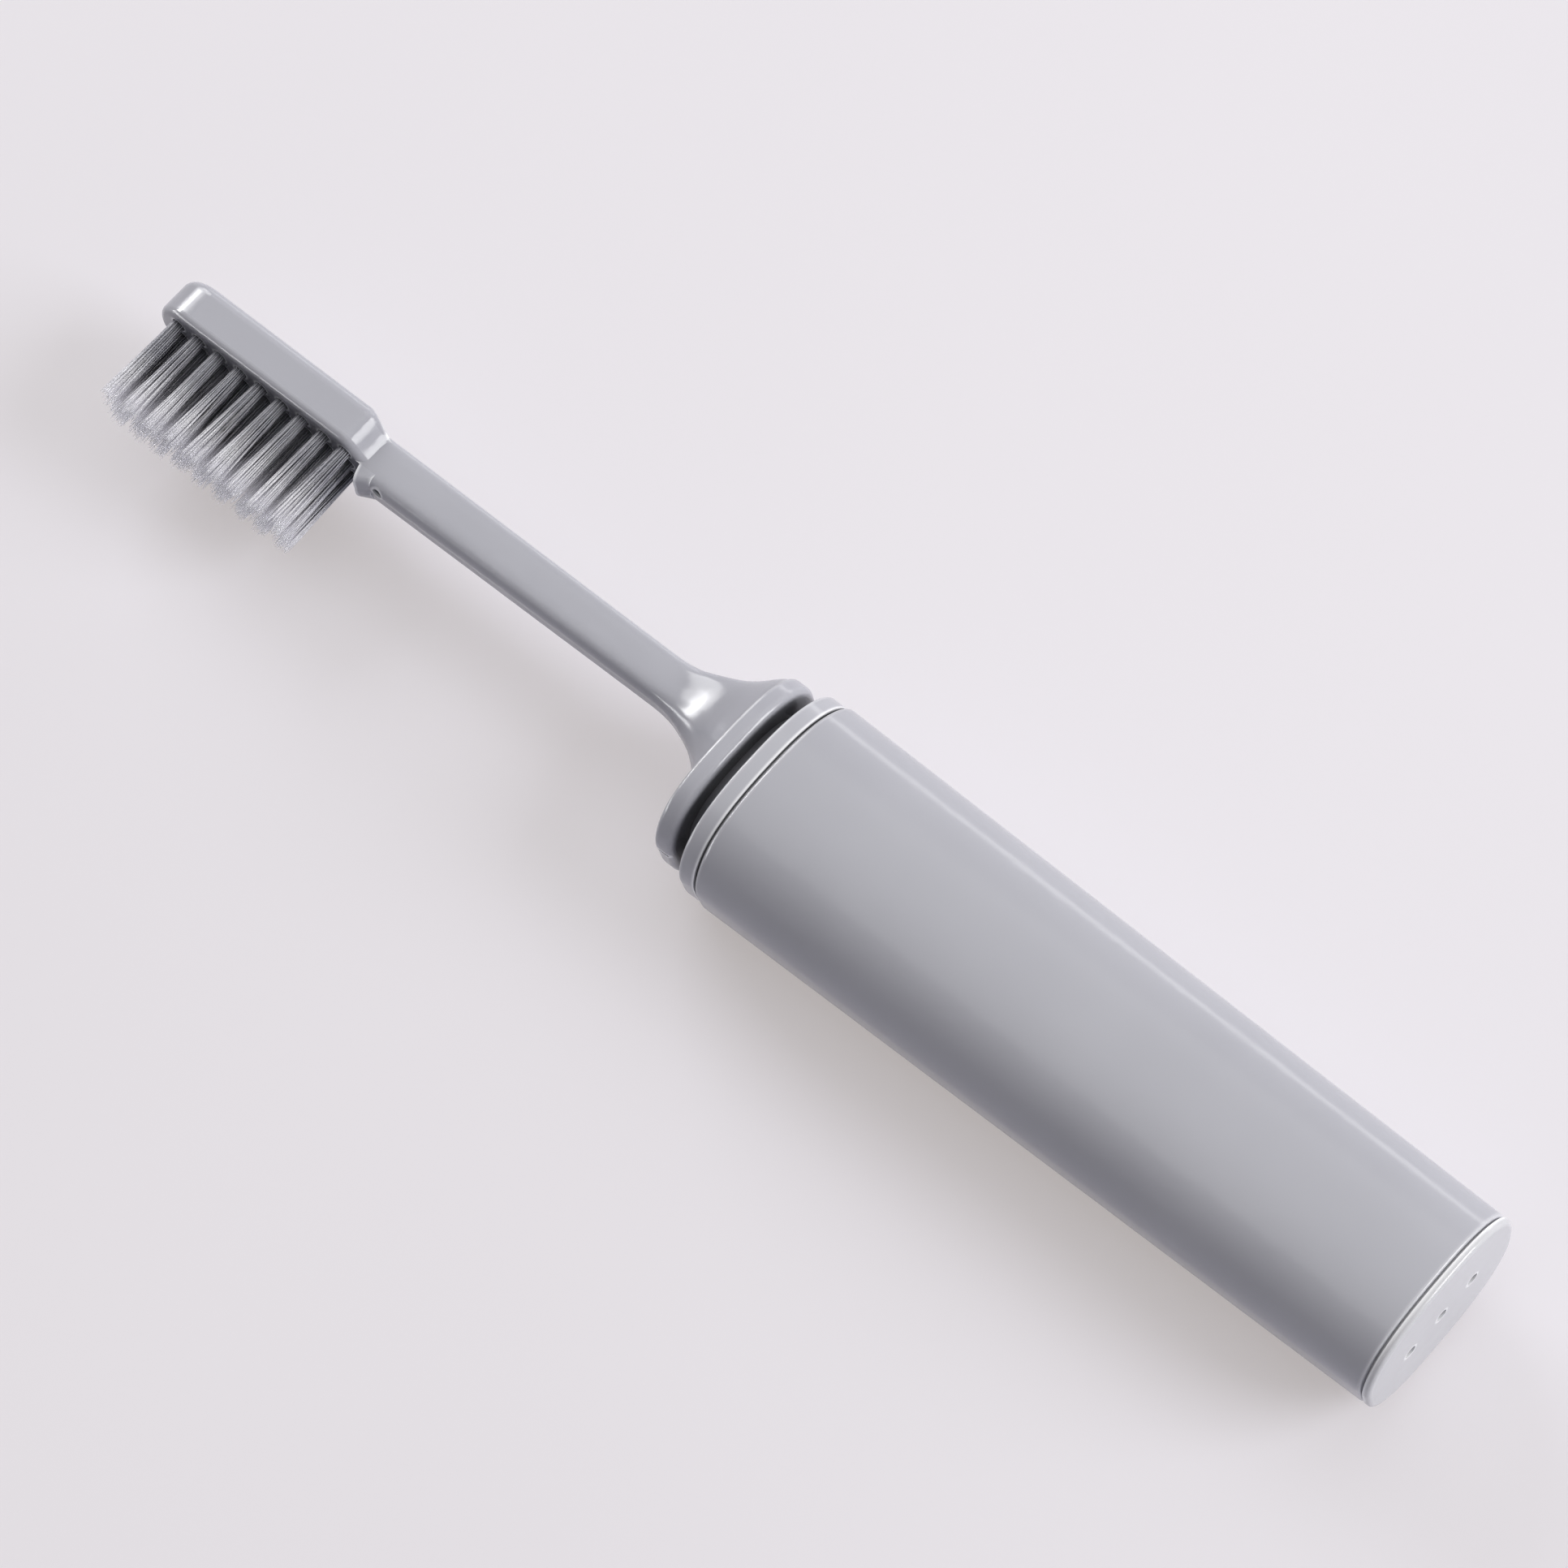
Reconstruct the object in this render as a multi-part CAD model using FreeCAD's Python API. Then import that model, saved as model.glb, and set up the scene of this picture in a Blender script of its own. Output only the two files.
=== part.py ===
import FreeCAD, Part
import math
import os

# Travel toothbrush, in millimetres. While it is built, X runs from the closed end of the case to
# the tip of the head, Y points the way the bristles point, and Z is up when it lies on its broad
# side. The middle of the case's end face is the starting point. The finished nodes are moved so
# that the origin is under the middle of the object, on the table.

# Case: a tapered oval tube
case_length = 88.0
end_width = 22.5
end_height = 17.5
mouth_width = 25.1
mouth_height = 19.9
tube_wall = 1.1
tube_mouth_radius = 0.4
tube_end_radius = 0.3
seam_width = 0.3
seam_depth = 0.75
case_exponent = 2.46

# End cap
cap_thickness = 1.1
cap_edge_radius = 0.5
skirt_length = 5.0
skirt_wall = 1.0
vent_radius = 0.75
vent_pitch = 4.8
vents = 3

# Mouth collar: a ring outside the tube and a sleeve inside it
collar_width = 2.35
collar_inset = 0.25
collar_edge_radius = 0.3
sleeve_length = 11.5
sleeve_wall = 0.7
stop_length = 1.0
stop_height = 0.5
press_gap = 0.02

# Plug and flange of the brush
plug_clearance = 0.08
plug_wall = 1.3
plug_floor = 1.5
plug_entry_radius = 0.5
groove_width = 3.05
groove_half_width = 8.4
groove_half_height = 5.8
flange_gap = 1.95
flange_thickness = 2.35
flange_width = 22.6
flange_height = 17.2
flange_centre = -0.2
flange_exponent = 2.75
flange_rear_radius = 0.8
flange_front_radius = 0.45

# Stem, with a flare that widens to the flange
stem_back = -6.15
stem_front = -0.9
neck_front = -0.5
stem_height = 4.6
stem_exponent = 4.5
flare_length = 11.9
flare_back = -11.2
flare_front = 5.2
flare_height = 15.4
flare_exponent = 2.6
stem_sections = 21
flare_back_power = 1.8
flare_front_power = 2.4

# Head
head_length = 31.3
head_width = 9.8
head_back = -6.8
head_face = -1.6
head_shoulder_length = 4.2
head_back_radius = 1.3
head_face_radius = 0.9
head_shoulder_inset = 0.3
head_neck_back = -5.4
neck_overlap = 2.6
brush_length = 86.7

# Heel: the front of the neck rises a little, then drops to the face of the head
heel_front = 0.3
heel_before_head = 0.7
heel_crest = 0.9
heel_foot = 1.5
heel_height = 4.5

# Small marks of the moulding: a dimple in the neck and a notch in the flange's edge
dimple_radius = 0.6
dimple_depth = 0.5
dimple_before_head = 1.7
dimple_height = 0.9
notch_length = 1.8
notch_depth = 0.35
notch_width = 0.6
notch_height = 0.4

# Bristle tufts and the metal plates that hold them
rows = 9
columns = ("left", "middle", "right")
row_pitch = 3.03
column_pitch = 2.5
first_row_from_tip = 3.45
tuft_hole_radius = 0.85
tuft_hole_depth = 3.4
tuft_root_radius = 0.8
tuft_tip_radius = 1.2
tuft_length = 11.4
anchor_thickness = 0.25
anchor_height = 1.5
anchor_bite = 0.1
anchor_lift = 0.3

# How far a cutting shape reaches past what it cuts, the number of points on each oval outline,
# and how exactly an edge has to lie in a plane
cut_margin = 1.0
outline_points = 16
edge_tolerance = 0.001

collar_start = case_length - collar_width
flange_start = case_length + flange_gap
flange_end = flange_start + flange_thickness
tip_x = case_length + brush_length
head_start = tip_x - head_length
plug_end = flange_start - groove_width
sleeve_end = collar_start - sleeve_length
plug_start = sleeve_end + stop_length


def vector(x, y, z):
    return FreeCAD.Vector(x, y, z)


def between(start, end, share):
    return start + (end - start) * share


def oval(x, half_width, half_height, exponent, centre_y=0.0):
    """Closed outline across the length, from a superellipse."""
    points = []
    for step in range(outline_points):
        angle = 2 * math.pi * step / outline_points
        across = math.cos(angle)
        up = math.sin(angle)
        y = half_width * math.copysign(abs(across) ** (2 / exponent), across)
        z = half_height * math.copysign(abs(up) ** (2 / exponent), up)
        points.append(vector(x, centre_y + y, z))
    curve = Part.BSplineCurve()
    curve.interpolate(points, PeriodicFlag=True)
    return Part.Wire([curve.toShape()])


def case_halves(x, inset=0.0):
    """Half width and half height of the case at x, less an inset."""
    share = x / case_length
    half_width = between(end_width, mouth_width, share) / 2
    half_height = between(end_height, mouth_height, share) / 2
    return half_width - inset, half_height - inset


def case_loft(start, end, inset=0.0):
    """Solid between two places on the case's tapered oval."""
    first = oval(start, *case_halves(start, inset), case_exponent)
    last = oval(end, *case_halves(end, inset), case_exponent)
    return Part.makeLoft([first, last], True, True)


def straight_oval(start, end, half_width, half_height, exponent):
    """Solid with the same oval all along."""
    face = Part.Face(oval(start, half_width, half_height, exponent))
    return face.extrude(vector(end - start, 0, 0))


def end_edges(shape, x):
    """Edges that lie in the plane at x."""
    found = []
    for edge in shape.Edges:
        box = edge.BoundBox
        if abs(box.XMin - x) < edge_tolerance and abs(box.XMax - x) < edge_tolerance:
            found.append(edge)
    return found


def rounded(shape, x, radius):
    """The shape with its edges in the plane at x rounded."""
    return shape.makeFillet(radius, end_edges(shape, x))


def make_case_tube():
    outer = case_loft(cap_thickness, collar_start)
    outer = rounded(outer, cap_thickness, tube_end_radius)
    outer = rounded(outer, collar_start, tube_mouth_radius)
    inner = case_loft(cap_thickness, collar_start, tube_wall)
    return outer.cut(inner)


def make_end_cap():
    seam_start = cap_thickness - seam_width
    flange = straight_oval(0, seam_start, *case_halves(0), case_exponent)
    flange = rounded(flange, 0, cap_edge_radius)
    seam = straight_oval(seam_start, cap_thickness, *case_halves(0, seam_depth), case_exponent)
    skirt_end = cap_thickness + skirt_length
    skirt = case_loft(cap_thickness, skirt_end, tube_wall + press_gap)
    hollow = case_loft(cap_thickness, skirt_end, tube_wall + press_gap + skirt_wall)
    cap = flange.fuse([seam, skirt.cut(hollow)])
    for number in range(vents):
        y = (number - (vents - 1) / 2) * vent_pitch
        hole = Part.makeCylinder(vent_radius, cap_thickness, vector(0, y, 0), vector(1, 0, 0))
        cap = cap.cut(hole)
    return cap.removeSplitter()


def socket_halves():
    """Half sizes of the straight socket inside the sleeve."""
    return case_halves(sleeve_end, tube_wall + press_gap + sleeve_wall)


def make_mouth_collar():
    seam_end = collar_start + seam_width
    ring = case_loft(seam_end, case_length, collar_inset)
    ring = rounded(ring, case_length, collar_edge_radius)
    seam = case_loft(collar_start, seam_end, seam_depth)
    sleeve = case_loft(sleeve_end, collar_start, tube_wall + press_gap)
    half_width, half_height = socket_halves()
    socket = straight_oval(plug_start, case_length, half_width, half_height, case_exponent)
    throat = straight_oval(
        sleeve_end, plug_start, half_width - stop_height, half_height - stop_height, case_exponent
    )
    return ring.fuse([seam, sleeve]).cut(socket).cut(throat).removeSplitter()


def make_plug():
    half_width, half_height = socket_halves()
    half_width = half_width - plug_clearance
    half_height = half_height - plug_clearance
    plug = straight_oval(plug_start, plug_end, half_width, half_height, case_exponent)
    plug = rounded(plug, plug_start, plug_entry_radius)
    hollow = straight_oval(
        plug_start, plug_end - plug_floor, half_width - plug_wall, half_height - plug_wall, case_exponent
    )
    groove = straight_oval(
        plug_end, flange_start, groove_half_width, groove_half_height, case_exponent
    )
    return plug.cut(hollow).fuse(groove)


def make_flange():
    outline = oval(
        flange_start, flange_width / 2, flange_height / 2, flange_exponent, flange_centre
    )
    flange = Part.Face(outline).extrude(vector(flange_thickness, 0, 0))
    flange = rounded(flange, flange_start, flange_rear_radius)
    return rounded(flange, flange_end, flange_front_radius)


def stem_outline(x, back, front, height, exponent):
    """Outline across the stem or its flare, from its back and front faces."""
    return oval(x, (front - back) / 2, height / 2, exponent, (front + back) / 2)


def make_stem():
    """Trumpet from a wide oval on the flange to the stem's rounded rectangle, then the stem."""
    stem_start = flange_end + flare_length
    stem_end = head_start + neck_overlap
    sections = []
    for step in range(stem_sections):
        x = between(stem_end, flange_end, step / (stem_sections - 1))
        share = max(stem_start - x, 0) / flare_length
        along = max(x - stem_start, 0) / (stem_end - stem_start)
        plain_front = between(stem_front, neck_front, along)
        back = between(stem_back, flare_back, share ** flare_back_power)
        front = between(plain_front, flare_front, share ** flare_front_power)
        height = between(stem_height, flare_height, share ** flare_front_power)
        exponent = between(stem_exponent, flare_exponent, share)
        sections.append(stem_outline(x, back, front, height, exponent))
    return Part.makeLoft(sections, True, False).fuse(make_heel()).cut(make_ramp())


def side_block(corners, half_height):
    """Block with the outline of the corners in side view."""
    points = [vector(x, y, -half_height) for x, y in corners]
    outline = Part.makePolygon(points + points[:1])
    return Part.Face(outline).extrude(vector(0, 0, 2 * half_height))


def make_heel():
    """Rise in front of the neck where it meets the head."""
    middle = between(stem_back, neck_front, 1 / 2)
    start = head_start - heel_before_head
    crest = head_start + heel_crest
    end = head_start + heel_foot
    low = stem_outline(start, middle, neck_front, heel_height, stem_exponent)
    high = stem_outline(crest, middle, heel_front, heel_height, stem_exponent)
    level = stem_outline(end, middle, heel_front, heel_height, stem_exponent)
    return Part.makeLoft([low, high, level], True, True)


def make_ramp():
    """Room in front of the head's face, past the heel."""
    slope = (heel_foot - heel_crest) / (heel_front - head_face)
    stem_end = head_start + neck_overlap
    corners = [
        (head_start + heel_foot, head_face),
        (head_start + heel_crest - slope * cut_margin, heel_front + cut_margin),
        (stem_end + cut_margin, heel_front + cut_margin),
        (stem_end + cut_margin, head_face),
    ]
    return side_block(corners, stem_height)


def shoulder_curve(side):
    """Curve in plan from the side of the neck out to the side of the head."""
    start = head_start
    end = head_start + head_shoulder_length
    middle = between(start, end, 1 / 2)
    neck_side = side * (stem_height / 2 - head_shoulder_inset)
    head_side = side * head_width / 2
    curve = Part.BezierCurve()
    curve.setPoles(
        [
            vector(start, head_back, neck_side),
            vector(middle, head_back, neck_side),
            vector(middle, head_back, head_side),
            vector(end, head_back, head_side),
        ]
    )
    return curve.toShape()


def level_edges(shape, y):
    """Edges that lie in the plane at y, less the one across the neck."""
    found = []
    for edge in shape.Edges:
        box = edge.BoundBox
        level = abs(box.YMin - y) < edge_tolerance and abs(box.YMax - y) < edge_tolerance
        if level and box.XMax > head_start + edge_tolerance:
            found.append(edge)
    return found


def make_head():
    """Head block: a plan outline with a round tip and curved shoulders, drawn along Y."""
    half = head_width / 2
    neck_half = stem_height / 2 - head_shoulder_inset
    shoulder_x = head_start + head_shoulder_length
    round_x = tip_x - half
    tip = vector(tip_x, head_back, 0)
    left_neck = vector(head_start, head_back, neck_half)
    right_neck = vector(head_start, head_back, -neck_half)
    left_round = vector(round_x, head_back, half)
    right_round = vector(round_x, head_back, -half)
    outline = Part.Wire(
        [
            Part.makeLine(right_neck, left_neck),
            shoulder_curve(1),
            Part.makeLine(vector(shoulder_x, head_back, half), left_round),
            Part.Arc(left_round, tip, right_round).toShape(),
            Part.makeLine(right_round, vector(shoulder_x, head_back, -half)),
            shoulder_curve(-1),
        ]
    )
    block = Part.Face(outline).extrude(vector(0, head_face - head_back, 0))
    block = block.makeFillet(head_back_radius, level_edges(block, head_back))
    block = block.makeFillet(head_face_radius, level_edges(block, head_face))
    return block.cut(make_back_slope())


def make_back_slope():
    """Wedge behind the shoulders, which brings the back of the head down into the stem."""
    shoulder_x = head_start + head_shoulder_length
    corners = [
        (head_start, head_neck_back),
        (shoulder_x, head_back),
        (head_start, head_back),
    ]
    return side_block(corners, head_width)


def tuft_places():
    """Row number, column name and middle of every tuft hole."""
    places = []
    for row in range(rows):
        x = tip_x - first_row_from_tip - row * row_pitch
        for number, column in enumerate(columns):
            z = ((len(columns) - 1) / 2 - number) * column_pitch
            places.append((row + 1, column, x, z))
    return places


def make_marks():
    """The dimple and the notch, as shapes to cut away."""
    dimple_floor = vector(head_start - dimple_before_head, neck_front - dimple_depth, dimple_height)
    dimple = Part.makeCylinder(dimple_radius, 2 * dimple_depth, dimple_floor, vector(0, 1, 0))
    notch_corner = vector(
        flange_end - notch_length,
        flange_centre + flange_width / 2 - notch_depth,
        notch_height - notch_width / 2,
    )
    notch = Part.makeBox(notch_length, 2 * notch_depth, notch_width, notch_corner)
    return [dimple, notch]


def make_brush_body():
    body = make_plug().fuse([make_flange(), make_stem(), make_head()])
    cuts = make_marks()
    for row, column, x, z in tuft_places():
        start = vector(x, head_face - tuft_hole_depth, z)
        depth = tuft_hole_depth + head_face_radius
        cuts.append(Part.makeCylinder(tuft_hole_radius, depth, start, vector(0, 1, 0)))
    return body.cut(cuts).removeSplitter()


def make_anchor(x, z):
    """Metal plate that pins one folded tuft in its hole."""
    length = 2 * (tuft_hole_radius + anchor_bite)
    floor = head_face - tuft_hole_depth + anchor_lift
    corner = vector(x - anchor_thickness / 2, floor, z - length / 2)
    return Part.makeBox(anchor_thickness, anchor_height, length, corner)


def make_tuft(x, z):
    """One tuft: a straight root in its hole and a slightly wider tip."""
    floor = head_face - tuft_hole_depth
    up = vector(0, 1, 0)
    root = Part.makeCylinder(tuft_root_radius, tuft_hole_depth, vector(x, floor, z), up)
    free = Part.makeCone(tuft_root_radius, tuft_tip_radius, tuft_length, vector(x, head_face, z), up)
    return root.fuse(free).cut(make_anchor(x, z)).removeSplitter()


def save(node, shape):
    """Move a finished node to the row's origin and write it."""
    placed = shape.copy()
    placed.translate(vector(-tip_x / 2, 0, mouth_height / 2))
    placed.exportStep("parts/" + node + ".step")


def main():
    os.makedirs("parts", exist_ok=True)
    save("case_tube", make_case_tube())
    save("mouth_collar", make_mouth_collar())
    save("end_cap", make_end_cap())
    save("brush_body", make_brush_body())
    anchors = []
    for row, column, x, z in tuft_places():
        save("tuft_%d_%s" % (row, column), make_tuft(x, z))
        anchors.append(make_anchor(x, z))
    save("tuft_anchors", Part.makeCompound(anchors))


main()
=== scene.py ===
import math
import random

import bmesh
import bpy
from mathutils import Matrix, Vector


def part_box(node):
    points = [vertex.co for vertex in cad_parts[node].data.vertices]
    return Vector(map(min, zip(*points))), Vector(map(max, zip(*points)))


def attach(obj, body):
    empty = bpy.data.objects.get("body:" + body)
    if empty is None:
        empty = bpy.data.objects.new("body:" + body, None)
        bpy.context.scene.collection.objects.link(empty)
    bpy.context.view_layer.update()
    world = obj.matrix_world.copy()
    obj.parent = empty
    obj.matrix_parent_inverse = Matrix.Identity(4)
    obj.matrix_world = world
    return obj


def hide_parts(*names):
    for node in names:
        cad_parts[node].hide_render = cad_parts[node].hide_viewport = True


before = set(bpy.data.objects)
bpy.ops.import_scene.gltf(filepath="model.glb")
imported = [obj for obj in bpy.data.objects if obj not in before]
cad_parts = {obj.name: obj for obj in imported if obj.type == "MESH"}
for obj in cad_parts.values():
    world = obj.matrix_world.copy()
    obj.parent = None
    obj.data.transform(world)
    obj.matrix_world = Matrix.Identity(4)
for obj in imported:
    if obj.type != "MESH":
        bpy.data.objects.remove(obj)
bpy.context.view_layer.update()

MM = 0.001

# Tufts are named by row, counted from the tip of the head, and by column
ROWS = 9
COLUMNS = ("left", "middle", "right")

# Noise and colour ramps, where a material gives no value of its own
NOISE_DETAIL = 2.0
NOISE_ROUGHNESS = 0.5
RAMP_START_SHARE = 0.3
RAMP_END_SHARE = 0.7

# Plastic: darkest and lightest grey of each moulding
PLASTIC_COLOURS = {
    "case_tube": ((0.405, 0.405, 0.442, 1.0), (0.425, 0.425, 0.462, 1.0)),
    "mouth_collar": ((0.435, 0.435, 0.472, 1.0), (0.455, 0.455, 0.492, 1.0)),
    # The end cap's lighter grey is partly its own tone and partly painted light for its brightly lit
    # end face
    "end_cap": ((0.52, 0.52, 0.54, 1.0), (0.54, 0.54, 0.56, 1.0)),
    "brush_body": ((0.39, 0.39, 0.43, 1.0), (0.41, 0.41, 0.45, 1.0)),
}
PLASTIC_CLOUD_SCALE = 60.0
PLASTIC_IOR = 1.5

# Plastic: painted shade darkens gaps, seams and crevices, but not at the closed end of the case, which
# has the lowest X
OCCLUSION_SAMPLES = 8
GAP_REACH = 5.0 * MM
GAP_PAINTED_SHADE = 0.12
GAP_CLOSED_SHARE = 0.2
GAP_OPEN_SHARE = 0.62
GAP_PAINTED_SHADE_START = -80.0 * MM
GAP_PAINTED_SHADE_FULL = -60.0 * MM

# Plastic: painted highlight, a lighter colour on sharp edges
EDGE_HIGHLIGHT_REACH = 0.4 * MM
EDGE_HIGHLIGHT_COLOUR = (0.75, 0.75, 0.77, 1.0)
EDGE_SHARP_SHARE = 0.7
EDGE_FLAT_SHARE = 0.97

# Plastic: smears in the gloss
ROUGHNESS_LOW = 0.15
ROUGHNESS_HIGH = 0.21
SMEAR_SCALE = 220.0
SMEAR_DETAIL = 4.0
SMEAR_ROUGHNESS = 0.6

# Plastic: waviness, and a fine skin with scuffs drawn out along the handle
BUMP_HEIGHT = 0.02 * MM
WAVE_SCALE = 350.0
WAVE_DETAIL = 1.0
WAVE_STRENGTH = 1.0
SKIN_SCALE = 2600.0
SKIN_STRENGTH = 0.04
SCUFF_SCALES = (60.0, 1400.0, 1400.0)

# Filaments of the tufts
RANDOM_SEED = 7
GOLDEN_ANGLE = math.pi * (3 - math.sqrt(5))
FILAMENTS_PER_TUFT = 46
FILAMENT_RADIUS = 0.095 * MM
FILAMENT_TIP_RADIUS = FILAMENT_RADIUS / 2
FILAMENT_SIDES = 5
FILAMENT_RINGS = 7
FILAMENT_LENGTH_SPREAD = 0.55 * MM
FILAMENT_BOW = 0.15 * MM
FILAMENT_TIP_JITTER = 0.12 * MM
TUFT_LEAN = 0.15 * MM
TUFT_ROOT_RADIUS = 0.72 * MM
TUFT_TIP_RADIUS = 1.1 * MM
TUFT_ROOT_DEPTH = 1.5 * MM
HEAD_FACE_Y = -1.6 * MM
BRISTLE_LENGTH = 11.4 * MM

# Nylon: shares are of the way from the face of the head to the tips
BRISTLE_ROOT_COLOUR = (0.24, 0.24, 0.27, 1.0)
BRISTLE_TIP_COLOUR = (0.97, 0.96, 1.0, 1.0)
BRISTLE_PALE_START_SHARE = 0.34
BRISTLE_PALE_FULL_SHARE = 0.92
# Painted light: a faint glow towards the tips, standing in for light passing through the nylon
BRISTLE_PAINTED_TIP_LIGHT = (0.10, 0.098, 0.104, 1.0)
BRISTLE_PAINTED_LIGHT_START_SHARE = 0.55
BRISTLE_TIP_ALPHA = 0.2
BRISTLE_FADE_START_SHARE = 0.66
BRISTLE_FLECK_SCALE = 1800.0
BRISTLE_FLECK_SHADE = 0.85
BRISTLE_ROUGHNESS = 0.35
BRISTLE_SCATTER = 0.6 * MM
BRISTLE_IOR = 1.45

# Brass of the anchor plates
METAL_COLOURS = ((0.60, 0.47, 0.24, 1.0), (0.75, 0.62, 0.36, 1.0))
METAL_ROUGHNESS_LOW = 0.25
METAL_ROUGHNESS_HIGH = 0.45
METAL_GRAIN_SCALE = 900.0

# Floor: the lit part is cooler than the plain part, so the shadow on it is warm
FLOOR_SIZE = 6.0
FLOOR_CELLS = 8
FLOOR_CLOUD_SCALE = 5.0
FLOOR_ROUGHNESS = 0.9
FLOOR_GLOSS = 0.1
FLOOR_PLAIN_SHARE = 0.5
FLOOR_LIT_COLOURS = ((0.79, 0.79, 0.89, 1.0), (0.81, 0.81, 0.91, 1.0))
FLOOR_PLAIN_COLOURS = ((0.81, 0.75, 0.72, 1.0), (0.83, 0.77, 0.74, 1.0))
FLOOR_FAR_COLOURS = ((0.81, 0.77, 0.815, 1.0), (0.83, 0.79, 0.835, 1.0))
FLOOR_FAR_START = 0.25
FLOOR_FAR_FULL = 0.7

# World
WORLD_COLOUR = (0.98, 0.97, 1.0, 1.0)
WORLD_LIGHT = 0.11
BACKDROP_COLOUR = (0.82, 0.78, 0.825, 1.0)

# Lamps: place, width and height, watts, and whether only gloss shows the lamp
LAMPS = {
    "top": ((0.1, -0.1, 1.1), (1.3, 1.3), 4.35, False),
    "right": ((-0.78, -0.42, 0.54), (0.55, 0.55), 8.4, False),
    "left": ((0.8, -0.42, 0.5), (0.55, 0.55), 5.2, False),
    "glint": ((0.89, -0.02, 0.47), (0.5, 0.2), 6.3, True),
    "rim": ((0.74, 0.62, 0.12), (0.8, 0.25), 5.0, True),
    "low": ((0.2, -0.95, 0.16), (1.0, 0.14), 1.2, False),
}

# Camera, found by fitting the ovals and the tuft roots of the photograph; lens and sensor in mm
CAMERA_PLACE = (-0.18918, 0.15288, 0.53808)
CAMERA_AIM = (-0.00055, -0.0025, 0.00995)
CAMERA_ROLL = math.radians(-10.49)
CAMERA_LENS = 131.08
CAMERA_SENSOR = 36.0


def grey(value):
    return (value, value, value, 1.0)


def new_material(name):
    """A material, its nodes and links, its shader, and the place on the surface."""
    material = bpy.data.materials.new(name)
    material.use_nodes = True
    nodes, links = material.node_tree.nodes, material.node_tree.links
    place = nodes.new("ShaderNodeTexCoord").outputs["Object"]
    return material, nodes, links, nodes["Principled BSDF"], place


def noise(nodes, links, place, scale, detail=NOISE_DETAIL, roughness=NOISE_ROUGHNESS):
    node = nodes.new("ShaderNodeTexNoise")
    node.inputs["Scale"].default_value = scale
    node.inputs["Detail"].default_value = detail
    node.inputs["Roughness"].default_value = roughness
    links.new(place, node.inputs["Vector"])
    return node.outputs["Fac"]


def ramp(nodes, links, value, low, high, low_at=RAMP_START_SHARE, high_at=RAMP_END_SHARE):
    """Colour that goes from low to high as the value goes from low_at up to high_at."""
    node = nodes.new("ShaderNodeValToRGB")
    node.color_ramp.elements[0].position = low_at
    node.color_ramp.elements[0].color = low
    node.color_ramp.elements[1].position = high_at
    node.color_ramp.elements[1].color = high
    links.new(value, node.inputs["Fac"])
    return node.outputs["Color"]


def share_between(nodes, links, value, start, end, least=0.0):
    """Share that goes from least at start to 1 at end."""
    node = nodes.new("ShaderNodeMapRange")
    node.inputs["From Min"].default_value = start
    node.inputs["From Max"].default_value = end
    node.inputs["To Min"].default_value = least
    links.new(value, node.inputs["Value"])
    return node.outputs["Result"]


def along_axis(nodes, links, place, axis, start, end):
    """Share of the way from start to end along one axis."""
    split = nodes.new("ShaderNodeSeparateXYZ")
    links.new(place, split.inputs["Vector"])
    return share_between(nodes, links, split.outputs[axis], start, end)


def calculate(nodes, links, operation, first, second):
    node = nodes.new("ShaderNodeMath")
    node.operation = operation
    links.new(first, node.inputs[0])
    links.new(second, node.inputs[1])
    return node.outputs["Value"]


def mix_colours(nodes, links, blend, factor, first, second):
    """Blend of two colours, with a number or a node's value as the factor."""
    node = nodes.new("ShaderNodeMix")
    node.data_type = "RGBA"
    node.blend_type = blend
    links.new(first, node.inputs["A"])
    links.new(second, node.inputs["B"])
    if isinstance(factor, float):
        node.inputs["Factor"].default_value = factor
    else:
        links.new(factor, node.inputs["Factor"])
    return node.outputs["Result"]


def mix_shaders(nodes, links, factor, first, second):
    node = nodes.new("ShaderNodeMixShader")
    links.new(factor, node.inputs["Fac"])
    links.new(first, node.inputs[1])
    links.new(second, node.inputs[2])
    return node.outputs["Shader"]


def occlusion(nodes, reach, inside):
    """Openness of the surface, looking outward into gaps or inward at edges."""
    node = nodes.new("ShaderNodeAmbientOcclusion")
    node.samples = OCCLUSION_SAMPLES
    node.inside = inside
    node.inputs["Distance"].default_value = reach
    return node.outputs["AO"]


def bump(nodes, links, height, strength, under=None):
    """Relief of the surface, on top of another relief if one is given."""
    node = nodes.new("ShaderNodeBump")
    node.inputs["Strength"].default_value = strength
    node.inputs["Distance"].default_value = BUMP_HEIGHT
    links.new(height, node.inputs["Height"])
    if under is not None:
        links.new(under, node.inputs["Normal"])
    return node.outputs["Normal"]


def plastic_colour(nodes, links, place, dark, light):
    """Clouded grey, with painted shade in the gaps and a painted highlight on sharp edges."""
    cloud = ramp(nodes, links, noise(nodes, links, place, PLASTIC_CLOUD_SCALE), dark, light)
    # Painted shade: the colour is darkened where the surface looks into a gap
    open_share = occlusion(nodes, GAP_REACH, False)
    painted_shade = ramp(nodes, links, open_share, grey(GAP_PAINTED_SHADE), grey(1.0), GAP_CLOSED_SHARE, GAP_OPEN_SHARE)
    past_closed_end = along_axis(nodes, links, place, "X", GAP_PAINTED_SHADE_START, GAP_PAINTED_SHADE_FULL)
    with_painted_shade = mix_colours(nodes, links, "MULTIPLY", past_closed_end, cloud, painted_shade)
    # Painted highlight: the colour is lightened on sharp edges
    flat_share = occlusion(nodes, EDGE_HIGHLIGHT_REACH, True)
    painted_edge_highlight = ramp(nodes, links, flat_share, EDGE_HIGHLIGHT_COLOUR, grey(0.0), EDGE_SHARP_SHARE, EDGE_FLAT_SHARE)
    return mix_colours(nodes, links, "SCREEN", 1.0, with_painted_shade, painted_edge_highlight)


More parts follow.
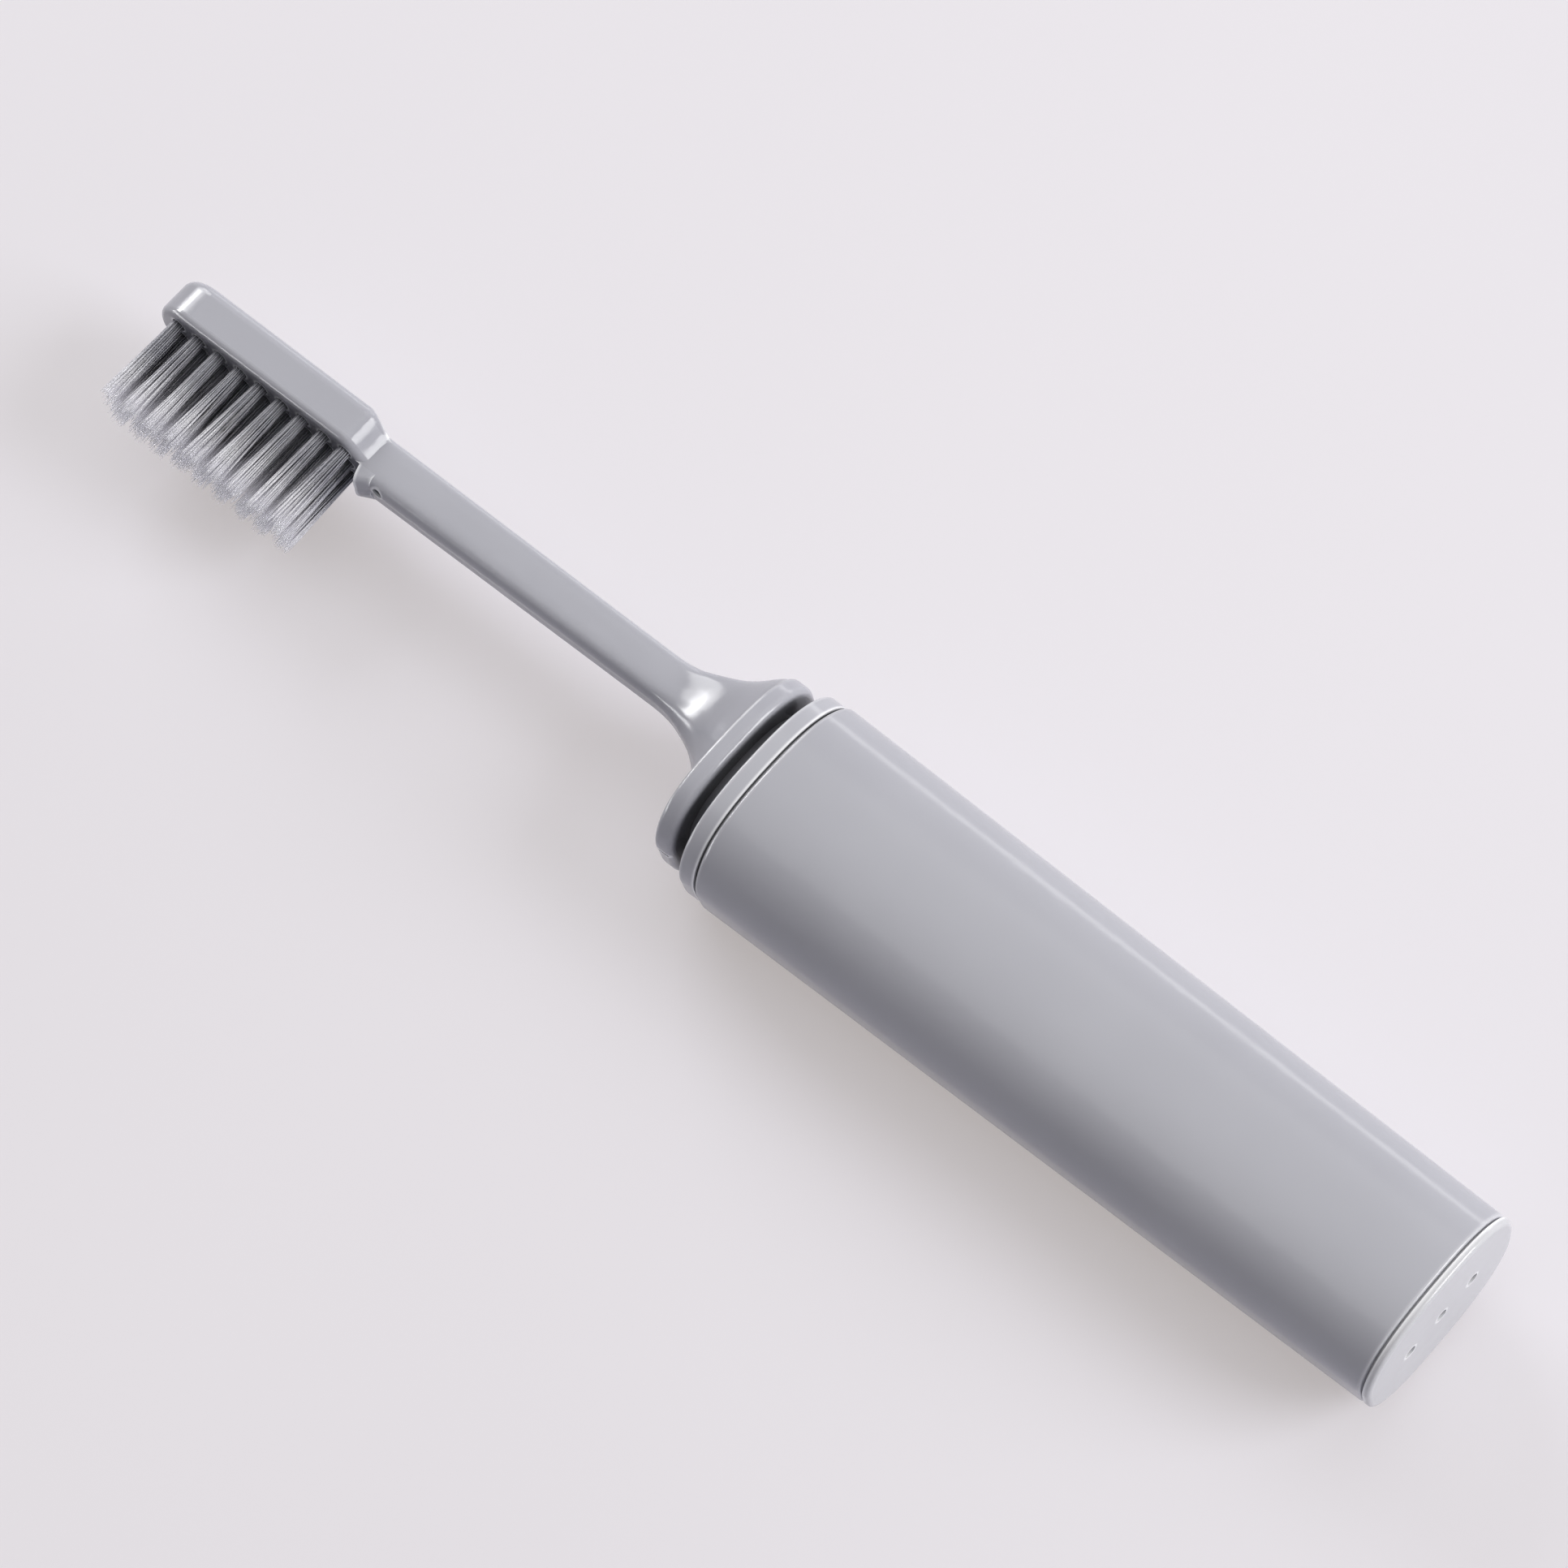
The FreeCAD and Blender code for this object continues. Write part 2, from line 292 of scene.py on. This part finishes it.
def plastic_bump(nodes, links, place):
    """Slight waviness of the moulding under a fine skin with hairline scuffs along the handle."""
    stretched = nodes.new("ShaderNodeMapping")
    stretched.inputs["Scale"].default_value = SCUFF_SCALES
    links.new(place, stretched.inputs["Vector"])
    scuffs = noise(nodes, links, stretched.outputs["Vector"], 1.0)
    skin = calculate(nodes, links, "ADD", scuffs, noise(nodes, links, place, SKIN_SCALE))
    waves = noise(nodes, links, place, WAVE_SCALE, WAVE_DETAIL)
    wavy = bump(nodes, links, waves, WAVE_STRENGTH)
    return bump(nodes, links, skin, SKIN_STRENGTH, wavy)


def plastic_material(name, dark, light):
    """Glossy moulded plastic with uneven gloss."""
    material, nodes, links, shader, place = new_material(name)
    links.new(plastic_colour(nodes, links, place, dark, light), shader.inputs["Base Color"])
    smear = noise(nodes, links, place, SMEAR_SCALE, SMEAR_DETAIL, SMEAR_ROUGHNESS)
    gloss = ramp(nodes, links, smear, grey(ROUGHNESS_LOW), grey(ROUGHNESS_HIGH))
    links.new(gloss, shader.inputs["Roughness"])
    links.new(plastic_bump(nodes, links, place), shader.inputs["Normal"])
    shader.inputs["IOR"].default_value = PLASTIC_IOR
    return material


def bristle_material():
    """Nylon filament: grey at the root, milky and see-through at the tip, with a painted glow of light
    towards the tip.
    """
    material, nodes, links, shader, place = new_material("bristle_nylon_look")
    along = along_axis(nodes, links, place, "Y", HEAD_FACE_Y, HEAD_FACE_Y + BRISTLE_LENGTH)
    colour = ramp(
        nodes, links, along,
        BRISTLE_ROOT_COLOUR, BRISTLE_TIP_COLOUR,
        BRISTLE_PALE_START_SHARE, BRISTLE_PALE_FULL_SHARE,
    )
    specks = noise(nodes, links, place, BRISTLE_FLECK_SCALE)
    fleck = ramp(nodes, links, specks, grey(BRISTLE_FLECK_SHADE), grey(1.0))
    mixed = mix_colours(nodes, links, "MULTIPLY", 1.0, colour, fleck)
    links.new(mixed, shader.inputs["Base Color"])
    fade = ramp(nodes, links, along, grey(1.0), grey(BRISTLE_TIP_ALPHA), BRISTLE_FADE_START_SHARE, 1.0)
    links.new(fade, shader.inputs["Alpha"])
    # Painted light: the tips glow though they are no lamp
    painted_tip_light = ramp(nodes, links, along, grey(0.0), BRISTLE_PAINTED_TIP_LIGHT, BRISTLE_PAINTED_LIGHT_START_SHARE, 1.0)
    links.new(painted_tip_light, shader.inputs["Emission Color"])
    shader.inputs["Emission Strength"].default_value = 1.0
    shader.inputs["Roughness"].default_value = BRISTLE_ROUGHNESS
    shader.inputs["Subsurface Weight"].default_value = 1.0
    shader.inputs["Subsurface Radius"].default_value = (1.0, 1.0, 1.0)
    shader.inputs["Subsurface Scale"].default_value = BRISTLE_SCATTER
    shader.inputs["IOR"].default_value = BRISTLE_IOR
    return material


def metal_material():
    """Brass with an uneven colour and gloss."""
    material, nodes, links, shader, place = new_material("anchor_metal_look")
    grain = noise(nodes, links, place, METAL_GRAIN_SCALE)
    links.new(ramp(nodes, links, grain, *METAL_COLOURS), shader.inputs["Base Color"])
    gloss = ramp(nodes, links, grain, grey(METAL_ROUGHNESS_LOW), grey(METAL_ROUGHNESS_HIGH))
    links.new(gloss, shader.inputs["Roughness"])
    shader.inputs["Metallic"].default_value = 1.0
    return material


def in_sight(nodes, links):
    """1 for what the camera sees directly, mirrored or through the object, else 0."""
    path = nodes.new("ShaderNodeLightPath")
    seen = path.outputs["Is Camera Ray"]
    for ray in ("Is Glossy Ray", "Is Transmission Ray"):
        seen = calculate(nodes, links, "MAXIMUM", seen, path.outputs[ray])
    return seen


def farness(nodes, links, place):
    """Share that is 0 round the object and 1 well away from it."""
    distance = nodes.new("ShaderNodeVectorMath")
    distance.operation = "LENGTH"
    links.new(place, distance.inputs[0])
    return share_between(nodes, links, distance.outputs["Value"], FLOOR_FAR_START, FLOOR_FAR_FULL)


def floor_material():
    """Pale tabletop with a very soft unevenness: partly unshaded near the object, wholly far off."""
    material, nodes, links, shader, place = new_material("tabletop")
    cloud = noise(nodes, links, place, FLOOR_CLOUD_SCALE)
    links.new(ramp(nodes, links, cloud, *FLOOR_LIT_COLOURS), shader.inputs["Base Color"])
    shader.inputs["Roughness"].default_value = FLOOR_ROUGHNESS
    shader.inputs["Specular IOR Level"].default_value = FLOOR_GLOSS
    far = farness(nodes, links, place)
    near_colour = ramp(nodes, links, cloud, *FLOOR_PLAIN_COLOURS)
    far_colour = ramp(nodes, links, cloud, *FLOOR_FAR_COLOURS)
    plain = nodes.new("ShaderNodeEmission")
    links.new(mix_colours(nodes, links, "MIX", far, near_colour, far_colour), plain.inputs["Color"])
    plain_part = share_between(nodes, links, far, 0.0, 1.0, FLOOR_PLAIN_SHARE)
    plain_share = calculate(nodes, links, "MULTIPLY", in_sight(nodes, links), plain_part)
    surface = mix_shaders(nodes, links, plain_share, shader.outputs["BSDF"], plain.outputs["Emission"])
    links.new(surface, nodes["Material Output"].inputs["Surface"])
    return material


def filament(mesh, start, middle, end):
    """One filament along a gentle curve, narrower at its tip and closed at both ends."""
    rings = []
    for number in range(FILAMENT_RINGS):
        share = number / (FILAMENT_RINGS - 1)
        point = (1 - share) ** 2 * start + 2 * share * (1 - share) * middle + share ** 2 * end
        ahead = 2 * (1 - share) * (middle - start) + 2 * share * (end - middle)
        side = ahead.cross(Vector((0, 0, 1))).normalized()
        other = ahead.cross(side).normalized()
        radius = FILAMENT_TIP_RADIUS if number == FILAMENT_RINGS - 1 else FILAMENT_RADIUS
        ring = []
        for corner in range(FILAMENT_SIDES):
            angle = 2 * math.pi * corner / FILAMENT_SIDES
            offset = radius * (math.cos(angle) * side + math.sin(angle) * other)
            ring.append(mesh.verts.new(point + offset))
        rings.append(ring)
    for lower, upper in zip(rings, rings[1:]):
        for corner in range(FILAMENT_SIDES):
            after = (corner + 1) % FILAMENT_SIDES
            mesh.faces.new((lower[corner], lower[after], upper[after], upper[corner]))
    mesh.faces.new(rings[0][::-1])
    mesh.faces.new(rings[-1])


def make_tuft(node, material, chance):
    """Filaments of one tuft, spread in a sunflower pattern and fanned out to the tip."""
    low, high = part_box(node)
    centre = (low + high) / 2
    root = Vector((centre.x, HEAD_FACE_Y - TUFT_ROOT_DEPTH, centre.z))
    lean = Vector((chance.uniform(-TUFT_LEAN, TUFT_LEAN), 0, chance.uniform(-TUFT_LEAN, TUFT_LEAN)))
    mesh = bmesh.new()
    for number in range(FILAMENTS_PER_TUFT):
        reach = math.sqrt((number + 0.5) / FILAMENTS_PER_TUFT)
        angle = number * GOLDEN_ANGLE
        out = Vector((math.cos(angle), 0, math.sin(angle))) * reach
        jitter = Vector((chance.gauss(0, FILAMENT_TIP_JITTER), 0, chance.gauss(0, FILAMENT_TIP_JITTER)))
        tip_y = high.y - abs(chance.gauss(0, FILAMENT_LENGTH_SPREAD))
        start = root + out * TUFT_ROOT_RADIUS
        end = Vector((centre.x, tip_y, centre.z)) + out * TUFT_TIP_RADIUS + lean + jitter
        middle = (start + end) / 2 - out * FILAMENT_BOW
        filament(mesh, start, middle, end)
    data = bpy.data.meshes.new(node + "_filaments")
    mesh.to_mesh(data)
    mesh.free()
    piece = bpy.data.objects.new(node + "_filaments", data)
    bpy.context.scene.collection.objects.link(piece)
    for polygon in data.polygons:
        polygon.use_smooth = True
    data.materials.append(material)
    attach(piece, "brush")
    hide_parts(node)


def make_bristles(material):
    chance = random.Random(RANDOM_SEED)
    for row in range(1, ROWS + 1):
        for column in COLUMNS:
            make_tuft("tuft_%d_%s" % (row, column), material, chance)


def dress(node, material):
    """Give a CAD node its look."""
    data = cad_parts[node].data
    data.materials.clear()
    data.materials.append(material)


def make_floor():
    bpy.ops.mesh.primitive_grid_add(
        x_subdivisions=FLOOR_CELLS, y_subdivisions=FLOOR_CELLS, size=FLOOR_SIZE
    )
    floor = bpy.context.object
    floor.name = "floor"
    floor.data.materials.append(floor_material())


def make_world():
    """Weak even light, with the pale backdrop where the camera sees it."""
    world = bpy.data.worlds.new("world")
    world.use_nodes = True
    nodes, links = world.node_tree.nodes, world.node_tree.links
    light = nodes["Background"]
    light.inputs["Color"].default_value = WORLD_COLOUR
    light.inputs["Strength"].default_value = WORLD_LIGHT
    backdrop = nodes.new("ShaderNodeBackground")
    backdrop.inputs["Color"].default_value = BACKDROP_COLOUR
    backgrounds = (light.outputs["Background"], backdrop.outputs["Background"])
    surface = mix_shaders(nodes, links, in_sight(nodes, links), *backgrounds)
    links.new(surface, nodes["World Output"].inputs["Surface"])
    bpy.context.scene.world = world


def make_lamp(name, place, size, power, gloss_only):
    """Rectangular lamp that shines at the origin."""
    data = bpy.data.lights.new(name, "AREA")
    data.shape = "RECTANGLE"
    data.size, data.size_y = size
    data.energy = power
    lamp = bpy.data.objects.new(name, data)
    lamp.visible_diffuse = not gloss_only
    lamp.location = place
    lamp.rotation_euler = (-Vector(place)).to_track_quat("-Z", "Y").to_euler()
    bpy.context.scene.collection.objects.link(lamp)


def make_camera():
    """Camera at the photograph's place, rolled about its own line of sight."""
    data = bpy.data.cameras.new("camera")
    data.lens = CAMERA_LENS
    data.sensor_width = CAMERA_SENSOR
    camera = bpy.data.objects.new("camera", data)
    place = Vector(CAMERA_PLACE)
    forward = (Vector(CAMERA_AIM) - place).normalized()
    right = forward.cross(Vector((0, 0, 1))).normalized()
    up = right.cross(forward)
    rolled_right = math.cos(CAMERA_ROLL) * right + math.sin(CAMERA_ROLL) * up
    rolled_up = rolled_right.cross(forward)
    turn = Matrix((rolled_right, rolled_up, -forward)).transposed()
    camera.matrix_world = Matrix.Translation(place) @ turn.to_4x4()
    bpy.context.scene.collection.objects.link(camera)
    bpy.context.scene.camera = camera


def main():
    for node, colours in PLASTIC_COLOURS.items():
        dress(node, plastic_material(node + "_look", *colours))
    dress("tuft_anchors", metal_material())
    make_bristles(bristle_material())
    make_floor()
    make_world()
    for name, settings in LAMPS.items():
        make_lamp(name, *settings)
    make_camera()
    bpy.context.scene.view_settings.view_transform = "Standard"


main()
